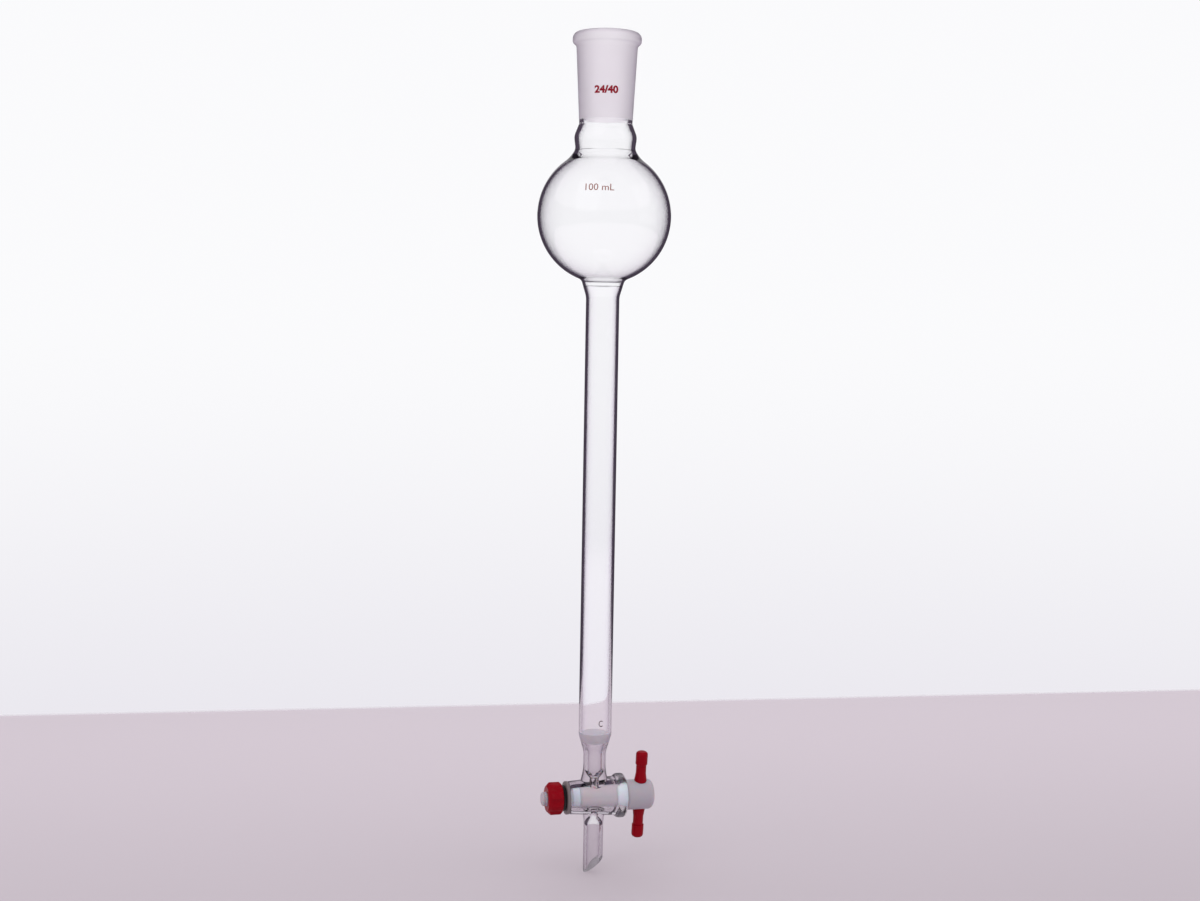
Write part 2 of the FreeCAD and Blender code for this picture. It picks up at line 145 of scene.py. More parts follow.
# The plug inside the barrel gets a lighter copy of its plastic: painted light, for the light the glass keeps
# from it.
LIT_SEATED_PLUG = replace(PLUG, name="seated_plug_painted_light", color=(0.68, 0.63, 0.67), roughness=0.3)
SEAL = Finish("seal_plastic", (0.87, 0.86, 0.95), 0.4, 0.04, 0.0, 1.38, subsurface=0.5,
              reach=0.002, grain=0.001, relief=0.00001)
RED = Finish("red_plastic", (0.25, 0.0, 0.006), 0.32, 0.06, specular=0.1, coat=0.04, grain=0.0012,
             relief=0.00001)
WASHER = Finish("washer_plastic", (0.18, 0.145, 0.15), 0.42, 0.04, grain=0.001, relief=0.00001)
RUBBER = Finish("black_rubber", (0.012, 0.011, 0.012), 0.45, 0.08, grain=0.0006, relief=0.00002)
RED_INK = Finish("red_ink", (0.30, 0.006, 0.02), 0.6, 0.05, specular=0.2, grain=0.0005)
BROWN_INK = replace(RED_INK, name="brown_ink", color=(0.30, 0.10, 0.08))
GREY_INK = replace(RED_INK, name="grey_ink", color=(0.16, 0.12, 0.13))


def placed(name: str, data: bpy.types.ID) -> bpy.types.Object:
    """Links a new object with this data into the scene.

    Args:
        name: The object's name.
        data: Its mesh, curve, camera or light.

    Returns:
        The object.
    """
    made = bpy.data.objects.new(name, data)
    bpy.context.scene.collection.objects.link(made)
    return made


def worked(holder: bpy.types.Object) -> Mesh:
    """Takes the mesh an object has after its modifiers, and removes the object.

    Args:
        holder: The object.

    Returns:
        The new mesh.
    """
    state = bpy.context.evaluated_depsgraph_get()
    result = bpy.data.meshes.new_from_object(holder.evaluated_get(state), depsgraph=state)
    bpy.data.objects.remove(holder)
    return result


def aimed(thing: bpy.types.Object, place: Vector, target: Vector, roll: float = 0.0) -> None:
    """Puts a camera or a lamp in its place and turns it to look at something.

    Args:
        thing: The camera or lamp.
        place: Where it stands, in metres.
        target: What it looks at, in metres.
        roll: Its roll, in degrees.
    """
    thing.location = place
    turn = (target - place).to_track_quat("-Z", "Y")
    thing.rotation_mode = "QUATERNION"
    thing.rotation_quaternion = turn @ Quaternion((0.0, 0.0, 1.0), math.radians(roll))


class Wire:
    """A node's output that can be worked with like a number."""

    def __init__(self, graph: "Graph", socket: bpy.types.NodeSocket) -> None:
        """Keeps the output socket and the node tree being built."""
        self.graph, self.socket = graph, socket

    def math(self, operation: str, other: "Wire | float") -> "Wire":
        """Adds one maths node and hands on its result."""
        return self.graph.wire("ShaderNodeMath", {"operation": operation}, {0: self, 1: other})

    __add__ = partialmethod(math, "ADD")
    __sub__ = partialmethod(math, "SUBTRACT")
    __mul__ = partialmethod(math, "MULTIPLY")
    __truediv__ = partialmethod(math, "DIVIDE")
    __pow__ = partialmethod(math, "POWER")
    __gt__ = partialmethod(math, "GREATER_THAN")
    __lt__ = partialmethod(math, "LESS_THAN")


class Graph:
    """A node tree being built: a material's, a world's or a modifier's."""

    def __init__(self, tree: bpy.types.NodeTree) -> None:
        """Keeps the tree and empties it."""
        self.tree = tree
        self.tree.nodes.clear()

    @classmethod
    def on(cls, owner: bpy.types.Material | bpy.types.World) -> "Graph":
        """Starts the node tree of a material or a world."""
        owner.use_nodes = True
        return cls(owner.node_tree)

    def node(self, kind: str, settings: dict, inputs: dict) -> bpy.types.Node:
        """Adds a node, sets it, then fills its inputs.

        Args:
            kind: The node type.
            settings: Attribute names and values.
            inputs: Input names or numbers, with a Wire or a plain value.

        Returns:
            The node.
        """
        node = self.tree.nodes.new(kind)
        for key, value in settings.items():
            setattr(node, key, value)
        for key, value in inputs.items():
            if isinstance(value, Wire):
                self.tree.links.new(value.socket, node.inputs[key])
            else:
                node.inputs[key].default_value = value
        return node

    def wire(self, kind: str, settings: dict, inputs: dict, output: str | int = 0) -> Wire:
        """Adds a node, as `node` does, and hands on the output of this name or number."""
        return Wire(self, self.node(kind, settings, inputs).outputs[output])

    def ramp(self, value: Wire, given: Pair, wanted: Pair = (0.0, 1.0),
             course: str = "SMOOTHSTEP") -> Wire:
        """Takes one range of values to another.

        Args:
            value: What to take over.
            given: Its two ends.
            wanted: What the two ends become.
            course: The node's interpolation.

        Returns:
            The new value.
        """
        return self.wire("ShaderNodeMapRange", {"interpolation_type": course}, {
            "Value": value, "From Min": given[0], "From Max": given[1],
            "To Min": wanted[0], "To Max": wanted[1]}, "Result")


class Workshop:
    """Makes the finishes once and hands them out."""

    def __init__(self) -> None:
        """Starts with no materials."""
        self.made: dict[str, bpy.types.Material] = {}

    def material(self, finish: Finish) -> bpy.types.Material:
        """The material for a finish, built the first time it is asked for.

        Args:
            finish: The finish.

        Returns:
            The material.
        """
        if finish.name not in self.made:
            self.made[finish.name] = self._build(finish)
        return self.made[finish.name]

    def _build(self, finish: Finish) -> bpy.types.Material:
        """Builds the node tree of one finish.

        Args:
            finish: The finish.

        Returns:
            The new material.
        """
        material = bpy.data.materials.new(finish.name)
        graph = Graph.on(material)
        place = graph.wire("ShaderNodeTexCoord", {}, {}, "Object")
        grain = graph.wire("ShaderNodeTexNoise", {}, {
            "Vector": place, "Scale": 1.0 / finish.grain, "Detail": 4.0, "Roughness": 0.55}, "Fac")
        slow = graph.wire("ShaderNodeTexNoise", {}, {
            "Vector": place, "Scale": 0.2 / finish.grain, "Detail": 2.0}, "Fac")
        inputs = {
            "Base Color": (*finish.color, 1.0),
            "Roughness": (slow - 0.5) * (2.0 * finish.spread) + finish.roughness,
            "IOR": finish.ior, "Transmission Weight": finish.transmission, "Coat Weight": finish.coat,
            "Specular IOR Level": finish.specular,
            "Subsurface Weight": finish.subsurface, "Subsurface Scale": finish.reach}
        if finish.relief > 0:
            inputs["Normal"] = self._relief(graph, grain, finish.relief)
        if finish.pitch > 0:
            ridges = self._ridges(graph, place, finish)
            inputs["Normal"] = self._relief(graph, ridges, finish.pitch * THREAD_DEPTH)
        surface = graph.wire("ShaderNodeBsdfPrincipled", {}, inputs, "BSDF")
        # Painted shade: a dark copy of the surface mixed in at glancing angles, on paths that have not bounced
        # off a diffuse surface.
        if finish.edge is not None:
            edge = graph.wire("ShaderNodeBsdfPrincipled", {}, {
                **inputs, "Base Color": (*finish.edge, 1.0)}, "BSDF")
            facing = graph.wire("ShaderNodeLayerWeight", {}, {"Blend": 0.5}, "Facing")
            seen = graph.wire("ShaderNodeLightPath", {}, {}, "Diffuse Depth") < 0.5
            surface = graph.wire("ShaderNodeMixShader", {}, {
                0: (facing ** finish.edge_power) * seen, 1: surface, 2: edge})
        if finish.transmission > 0:
            shadow = graph.wire("ShaderNodeLightPath", {}, {}, "Is Shadow Ray")
            clear = graph.wire("ShaderNodeBsdfTransparent", {}, {"Color": (0.98, 0.98, 0.98, 1.0)})
            surface = graph.wire("ShaderNodeMixShader", {}, {0: shadow, 1: surface, 2: clear})
        graph.node("ShaderNodeOutputMaterial", {}, {"Surface": surface})
        return material

    def _relief(self, graph: Graph, height: Wire, depth: float) -> Wire:
        """The shaded normal of a pattern from 0 to 1 that rises by a depth, in metres."""
        return graph.wire("ShaderNodeBump", {}, {
            "Strength": 1.0, "Distance": depth, "Height": height}, "Normal")

    def _ridges(self, graph: Graph, place: Wire, finish: Finish) -> Wire:
        """The height of a right-handed screw thread that runs along X.

        Args:
            graph: The material's node tree.
            place: The point's place in the row's frame.
            finish: The finish, with its pitch and level.

        Returns:
            The height, from 0 to a half.
        """
        parts = graph.node("ShaderNodeSeparateXYZ", {}, {0: place})
        along, across, up = (Wire(graph, parts.outputs[name]) for name in "XYZ")
        turn = (up - finish.thread_level).math("ARCTAN2", across)
        return (along / finish.pitch - turn / (2 * math.pi)).math("PINGPONG", 0.5)


@dataclass(frozen=True)
class Corner:
    """One corner of a turned outline, in millimetres.

    Attributes:
        radius: Distance from the axis.
        height: Place along the axis.
        ease: How far back from the corner its rounding starts, or 0 for a crisp corner.
        ball: Height of the centre of the ball that the side after this corner lies on, if it does.
    """

    radius: float
    height: float
    ease: float = 0.0
    ball: float | None = None


@dataclass(frozen=True)
class Mark:
    """A printed mark.

    Attributes:
        text: What it says.
        height: Height of its middle, in millimetres.
        turn: Direction it faces, in radians about the column.
        width: Its width, in millimetres.
        tall: Its height, in millimetres.
        weight: How much its strokes are thickened, as a share of the letter size.
    """

    text: str
    height: float
    turn: float
    width: float
    tall: float
    weight: float


class Side:
    """The side between two corners, straight or on a ball."""

    def __init__(self, first: Corner, last: Corner) -> None:
        """Works out the side's course.

        Args:
            first: Where it starts.
            last: Where it ends.
        """
        self.start = np.array([first.radius, first.height])
        self.stop = np.array([last.radius, last.height])
        self.centre = None if first.ball is None else np.array([0.0, first.ball])
        if self.centre is None:
            self.length = float(np.linalg.norm(self.stop - self.start))
            return
        ray, end = self.start - self.centre, self.stop - self.centre
        self.angle, self.end_angle = math.atan2(ray[1], ray[0]), math.atan2(end[1], end[0])
        self.radius, self.end_radius = float(np.linalg.norm(ray)), float(np.linalg.norm(end))
        self.length = abs(self.end_angle - self.angle) * self.radius

    def point(self, distance: float) -> np.ndarray:
        """A point on the side.

        Args:
            distance: How far along it, in millimetres.

        Returns:
            Its radius and height.
        """
        share = distance / self.length if self.length > 0 else 0.0
        if self.centre is None:
            return self.start + (self.stop - self.start) * share
        angle = self.angle + (self.end_angle - self.angle) * share
        radius = self.radius + (self.end_radius - self.radius) * share
        return self.centre + radius * np.array([math.cos(angle), math.sin(angle)])


def trace(corners: list[Corner]) -> np.ndarray:
    """Follows a closed outline and rounds its corners.

    Args:
        corners: The corners in order.

    Returns:
        Radius and height of each point, in millimetres.
    """
    count = len(corners)
    sides = [Side(corners[i], corners[(i + 1) % count]) for i in range(count)]
    points: list[np.ndarray] = []
    for i, corner in enumerate(corners):
        before, after = sides[i - 1], sides[i]
        spot = np.array([corner.radius, corner.height])
        if corner.ease > 0:
            enter, leave = before.point(before.length - corner.ease), after.point(corner.ease)
            for t in np.linspace(0, 1, ROUNDING):
                points.append((1 - t) ** 2 * enter + 2 * t * (1 - t) * spot + t ** 2 * leave)
        else:
            points.append(spot)
        first = corner.ease
        last = after.length - corners[(i + 1) % count].ease
        step = CURVED_STEP if after.centre is not None else STRAIGHT_STEP
        inner = max(1, int(math.ceil((last - first) / step)))
        points += [after.point(first + (last - first) * k / inner) for k in range(1, inner)]
    return np.array(points)


class Modeller:
    """Makes meshes, with every vertex in the row's frame and each object at the origin."""

    def __init__(self, workshop: Workshop) -> None:
        """Keeps the workshop for its materials."""
        self.workshop = workshop

    def show(self, mesh: Mesh, name: str, *finishes: Finish) -> bpy.types.Object:
        """Puts a mesh in the scene.

        Args:
            mesh: The mesh.
            name: The object's name.
            finishes: Its finishes, in slot order.

        Returns:
            The object.
        """
        mesh.name = name
        while mesh.materials:
            mesh.materials.pop()
        for finish in finishes:
            mesh.materials.append(self.workshop.material(finish))
        return placed(name, mesh)

    def turned(self, corners: list[Corner], axis: Axis = Axis.COLUMN, steps: int = 160,
               level: float = 0.0) -> Mesh:
        """Turns a closed outline into a mesh.

        Args:
            corners: The outline, in millimetres.
            axis: The way the piece lies.
            steps: Number of steps round the turn.
            level: Height of the stopcock axis, in millimetres.

        Returns:
            The mesh.
        """
        path = trace(corners)
        turns = np.arange(steps) * (2 * math.pi / steps)
        across = path[:, 0][None, :] * np.cos(turns)[:, None]
        deep = path[:, 0][None, :] * np.sin(turns)[:, None]
        along = np.repeat(path[:, 1][None, :], steps, axis=0)
        if axis is Axis.COLUMN:
            spots = np.stack([across, deep, along], axis=-1)
        else:
            spots = np.stack([along, across, deep + level], axis=-1)
        count = len(path)
        faces = []
        for turn in range(steps):
            here, there = turn * count, ((turn + 1) % steps) * count
            for k in range(count):
                step = (k + 1) % count
                faces.append((here + k, there + k, there + step, here + step))
        mesh = bpy.data.meshes.new("turned")
        mesh.from_pydata((spots.reshape(-1, 3) * MM).tolist(), [], faces)
        return self.tidied(mesh)

    def tidied(self, mesh: Mesh, crisp: float = 32.0, weld: float = 1e-7) -> Mesh:
        """Welds, turns the faces outwards and smooths all but the crisp edges.

        Args:
            mesh: The mesh, changed in place.
            crisp: Angle above which an edge stays crisp, in degrees.
            weld: Distance under which vertices are joined, in metres.

        Returns:
            The same mesh.
        """
        work = bmesh.new()
        work.from_mesh(mesh)
        bmesh.ops.remove_doubles(work, verts=work.verts, dist=weld)
        bmesh.ops.dissolve_degenerate(work, edges=work.edges, dist=weld)
        bmesh.ops.recalc_face_normals(work, faces=work.faces)
        work.to_mesh(mesh)
        work.free()
        mesh.shade_smooth()
        mesh.set_sharp_from_angle(angle=math.radians(crisp))
        mesh.update()
        return mesh

    def combined(self, base: Mesh, others: list[Mesh],
                 operation: str) -> Mesh:
        """Adds meshes to a mesh, or takes them away.

        Args:
            base: The mesh to start from.
            others: The meshes to add or take away.
            operation: UNION or DIFFERENCE.

        Returns:
            A new mesh.
        """
        start = placed("base", base)
        tools = [placed("tool", other) for other in others]
        for tool in tools:
            modifier = start.modifiers.new("combine", "BOOLEAN")
            modifier.operation = operation
            modifier.solver = "EXACT"
            modifier.object = tool
        result = worked(start)
        for tool in tools:
            bpy.data.objects.remove(tool)
        return result

    def share(self, mesh: Mesh, level: float, above: bool) -> Mesh:
        """The faces of a mesh that lie above or below a level, as a mesh of their own.

        Args:
            mesh: The whole mesh, left as it is.
            level: The level, in millimetres.
            above: True for the faces above it, False for the ones below.

        Returns:
            A new mesh.
        """
        work = bmesh.new()
        work.from_mesh(mesh)
        others = [face for face in work.faces if (face.calc_center_median().z > level * MM) != above]
        bmesh.ops.delete(work, geom=others, context="FACES")
        part = mesh.copy()
        work.to_mesh(part)
        work.free()
        return part

    def prism(self, outline: list[Pair], reach: float) -> Mesh:
        """A straight block over an outline in the XZ plane.

        Args:
            outline: X and Z of its corners, in millimetres.
            reach: How far it goes to each side of the plane, in millimetres.

        Returns:
            The mesh.
        """
        count = len(outline)
        near = [(x * MM, -reach * MM, z * MM) for x, z in outline]
        far = [(x * MM, reach * MM, z * MM) for x, z in outline]
        faces = [tuple(range(count)), tuple(reversed(range(count, 2 * count)))]
        faces += [(i, (i + 1) % count, count + (i + 1) % count, count + i) for i in range(count)]
        mesh = bpy.data.meshes.new("prism")
        mesh.from_pydata(near + far, [], faces)
        return self.tidied(mesh)

    def grained(self, mesh: Mesh, density: float, size: float, seed: int,
                finish: Finish) -> Mesh:
        """Scatters small glass grains over a mesh's level faces.

        Args:
            mesh: The mesh to cover.
            density: Grains to a square metre.
            size: Radius of the largest grain, in metres.
            seed: Seed of the scatter.
            finish: The grains' finish.

        Returns:
            A new mesh, the old one with its grains.
        """
        group = bpy.data.node_groups.new("grains", "GeometryNodeTree")
        face = group.interface
        face.new_socket("Geometry", in_out="INPUT", socket_type="NodeSocketGeometry")
        face.new_socket("Geometry", in_out="OUTPUT", socket_type="NodeSocketGeometry")

        graph = Graph(group)
        base = graph.wire("NodeGroupInput", {}, {}, "Geometry")
        normal = graph.wire("GeometryNodeInputNormal", {}, {})
        rise = graph.wire("ShaderNodeSeparateXYZ", {}, {0: normal}, "Z")
        steep = graph.wire("ShaderNodeMath", {"operation": "ABSOLUTE"}, {0: rise})
        spots = graph.wire("GeometryNodeDistributePointsOnFaces", {}, {
            "Mesh": base, "Selection": steep > LEVEL_FACE, "Density": density, "Seed": seed}, "Points")
        grain = graph.wire("GeometryNodeMeshIcoSphere", {}, {"Radius": size, "Subdivisions": 1}, "Mesh")
        scale = graph.wire("FunctionNodeRandomValue", {"data_type": "FLOAT"}, {
            "Min": 0.45, "Max": 1.0, "Seed": seed}, "Value")
        turn = graph.wire("FunctionNodeRandomValue", {"data_type": "FLOAT_VECTOR"}, {
            "Max": (6.28, 6.28, 6.28), "Seed": seed})
        strewn = graph.wire("GeometryNodeInstanceOnPoints", {}, {
            "Points": spots, "Instance": grain, "Rotation": turn, "Scale": scale})
        real = graph.wire("GeometryNodeRealizeInstances", {}, {"Geometry": strewn})
        painted = graph.wire("GeometryNodeSetMaterial", {}, {
            "Geometry": real, "Material": self.workshop.material(finish)})
        joined = graph.node("GeometryNodeJoinGeometry", {}, {0: painted})
        group.links.new(base.socket, joined.inputs[0])
        graph.node("NodeGroupOutput", {}, {"Geometry": Wire(graph, joined.outputs[0])})

        carrier = placed("carrier", mesh)
        modifier = carrier.modifiers.new("grains", "NODES")
        modifier.node_group = group
        return worked(carrier)

    def lettered(self, mark: "Mark", surface: Callable[[float], float]) -> Mesh:
        """Thin letters wrapped round the column.

        Args:
            mark: What to write and where.
            surface: Radius of the glass at a height, both in millimetres.

        Returns:
            The mesh.
        """
        curve = bpy.data.curves.new("letters", "FONT")
        curve.body = mark.text
        curve.align_x, curve.align_y = "CENTER", "CENTER"
        curve.size = 1.0
        curve.offset = mark.weight
        curve.extrude = 0.05
        curve.resolution_u = 4
        mesh = worked(placed("letters", curve))
        work = bmesh.new()
        work.from_mesh(mesh)
        bmesh.ops.remove_doubles(work, verts=work.verts, dist=1e-5)
        bmesh.ops.triangulate(work, faces=work.faces)
        for _ in range(3):
            long = [edge for edge in work.edges if edge.calc_length() > LETTER_STEP]
            if not long:
                break
            bmesh.ops.subdivide_edges(work, edges=long, cuts=1)
            bmesh.ops.triangulate(work, faces=work.faces)
        spots = np.array([v.co for v in work.verts])
        low, high = spots.min(0), spots.max(0)
        for vert in work.verts:
            across = ((vert.co.x - low[0]) / (high[0] - low[0]) - 0.5) * mark.width
            height = mark.height + ((vert.co.y - low[1]) / (high[1] - low[1]) - 0.5) * mark.tall
            lift = INK_LIFT + INK_DEPTH * (vert.co.z - low[2]) / (high[2] - low[2])
            radius = surface(height)
            angle = mark.turn + across / radius
            reach = radius + lift
            vert.co = Vector((reach * math.cos(angle), reach * math.sin(angle), height)) * MM
        bmesh.ops.recalc_face_normals(work, faces=work.faces)
        work.to_mesh(mesh)
        work.free()
        mesh.update()
        return mesh

    def copied(self, node: bpy.types.Object) -> Mesh:
        """A welded, smoothed copy of a CAD node's mesh."""
        return self.tidied(node.data.copy(), crisp=28.0, weld=2e-6)


@dataclass(frozen=True)
class Places:
    """Where the CAD nodes lie, in millimetres.

    Attributes:
        seam: Height where the reservoir stands on the tube.
        neck_foot: Height where the neck leaves the reservoir.
        socket_foot: Height of the ground joint's foot.
        socket_top: Height of its rim.
        disc_foot: Height of the disc's lower face.
        level: Height of the stopcock's axis.
        barrel_left: X of the barrel's nut end.
        barrel_right: X of its handle end.
        tip_end: Height of the drip tip's point.
    """

    seam: float
    neck_foot: float
    socket_foot: float
    socket_top: float
    disc_foot: float
    level: float
    barrel_left: float
    barrel_right: float
    tip_end: float

    @classmethod
    def read(cls) -> "Places":
        """Reads the places of the nodes as packed.

        Returns:
            The places.
        """
        bulb, socket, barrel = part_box("reservoir_bulb"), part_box("ground_socket"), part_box("stopcock_barrel")
        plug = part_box("stopcock_plug")
        return cls(
            seam=bulb[0].z / MM, neck_foot=bulb[1].z / MM,
            socket_foot=socket[0].z / MM, socket_top=socket[1].z / MM,
            disc_foot=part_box("fritted_disc")[0].z / MM, level=(plug[0].z + plug[1].z) / 2 / MM,
            barrel_left=barrel[0].x / MM, barrel_right=barrel[1].x / MM,
            tip_end=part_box("drip_tip")[0].z / MM)


@dataclass
class Assembly:
    """What every sub-assembly shares.

    Attributes:
        make: The mesh maker.
        at: The places of the CAD nodes.
        shown: The pieces put in the scene so far.
    """

    make: Modeller
    at: Places
    shown: list[bpy.types.Object] = field(default_factory=list)

    def add(self, mesh: Mesh, name: str, body: str, slot: str, nodes: list[str],
            *finishes: Finish) -> None:
        """Shows a mesh in place of CAD nodes.

        Args:
            mesh: The mesh.
            name: The piece's name.
            body: The CAD body it rides on.
            slot: A material slot name; not used.
            nodes: The CAD nodes it stands for.
            finishes: Its finishes.
        """
        piece = self.make.show(mesh, name, *finishes)
        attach(piece, body)
        if nodes:
            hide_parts(*nodes)
        self.shown.append(piece)


@dataclass
class UpperGlass(Assembly):
    """The ground joint, the neck and the round reservoir, blown as one wall with no seam.

    Every size is in millimetres, and each pair of radii is outside and inside.

    Attributes:
        ball_rise: From the reservoir's centre up to the neck's foot.
        ball_radii: The reservoir.
        foot_radii: The reservoir's foot on the tube.
        throat_radii: Where the ball begins above the foot.
        root_radii: The neck's foot on the ball.
        waist_radii: The neck's waist.
        waist_rise: The waist above the neck's foot.
        bulge_radii: The neck's bulge.
        bulge_drop: The bulge below the joint.
        joint_radii: The joint's foot.
        frost_radii: Where the frosting begins.
        frost_rise: The frosting's start above the joint's foot.
        head_radius: The joint under its rim, outside.
        head_drop: The rim's lower edge below its top.
        rim_radius: The rim's widest part.
        rim_drops: The two ends of the widest part, below the top.
        crown_radius: The rim's top face, outside.
        mouth_radius: The joint's mouth.
    """

    ball_rise: float = 25.4
    ball_radii: Pair = (30.0, 28.8)
    foot_radii: Pair = (8.9, 7.7)
    throat_radii: Pair = (9.7, 8.5)
    root_radii: Pair = (15.96, 13.58)
    waist_radii: Pair = (13.35, 11.55)
    waist_rise: float = 4.2
    bulge_radii: Pair = (14.1, 12.3)
    bulge_drop: float = 5.6
    joint_radii: Pair = (11.9, 10.0)
    frost_radii: Pair = (11.99, 10.085)
    frost_rise: float = 1.7
    head_radius: float = 13.7
    head_drop: float = 5.6
    rim_radius: float = 15.4
    rim_drops: Pair = (4.3, 1.6)
    crown_radius: float = 14.1
    mouth_radius: float = 12.0

    def build(self) -> None:
        """Turns the wall and splits it where the joint is fused on."""
        seam, neck, foot, top = self.at.seam, self.at.neck_foot, self.at.socket_foot, self.at.socket_top
        ball, frost = neck - self.ball_rise, foot + self.frost_rise
        low = [ball - math.sqrt(wall ** 2 - throat ** 2)
               for wall, throat in zip(self.ball_radii, self.throat_radii)]
        whole = self.make.turned([
            Corner(self.foot_radii[1], seam), Corner(self.foot_radii[0], seam, 0.2),
            Corner(self.throat_radii[0], low[0], 1.6, ball), Corner(self.root_radii[0], neck, 3.0),
            Corner(self.waist_radii[0], neck + self.waist_rise, 1.4),
            Corner(self.bulge_radii[0], foot - self.bulge_drop, 1.6),
            Corner(self.joint_radii[0], foot, 0.5), Corner(self.frost_radii[0], frost),
            Corner(self.head_radius, top - self.head_drop, 1.0),
            Corner(self.rim_radius, top - self.rim_drops[0], 0.9),
            Corner(self.rim_radius, top - self.rim_drops[1], 0.9), Corner(self.crown_radius, top, 0.7),
            Corner(self.mouth_radius, top, 0.25), Corner(self.frost_radii[1], frost),
            Corner(self.joint_radii[1], foot, 0.5),
            Corner(self.bulge_radii[1], foot - self.bulge_drop, 1.6),
            Corner(self.waist_radii[1], neck + self.waist_rise, 1.4),
            Corner(self.root_radii[1], neck, 3.5, ball), Corner(self.throat_radii[1], low[1], 1.4)],
            steps=192)
        upper = self.make.share(whole, foot, above=True)
        lower = self.make.share(whole, foot, above=False)
        self.add(upper, "ground_socket_glass", "glass", "ground_glass", ["ground_socket"], CLEAR, GROUND)
        for face in upper.polygons:
            face.material_index = 1 if face.center.z > frost * MM else 0
        self.add(lower, "reservoir_glass", "glass", "clear_glass", ["neck", "reservoir_bulb"], CLEAR)


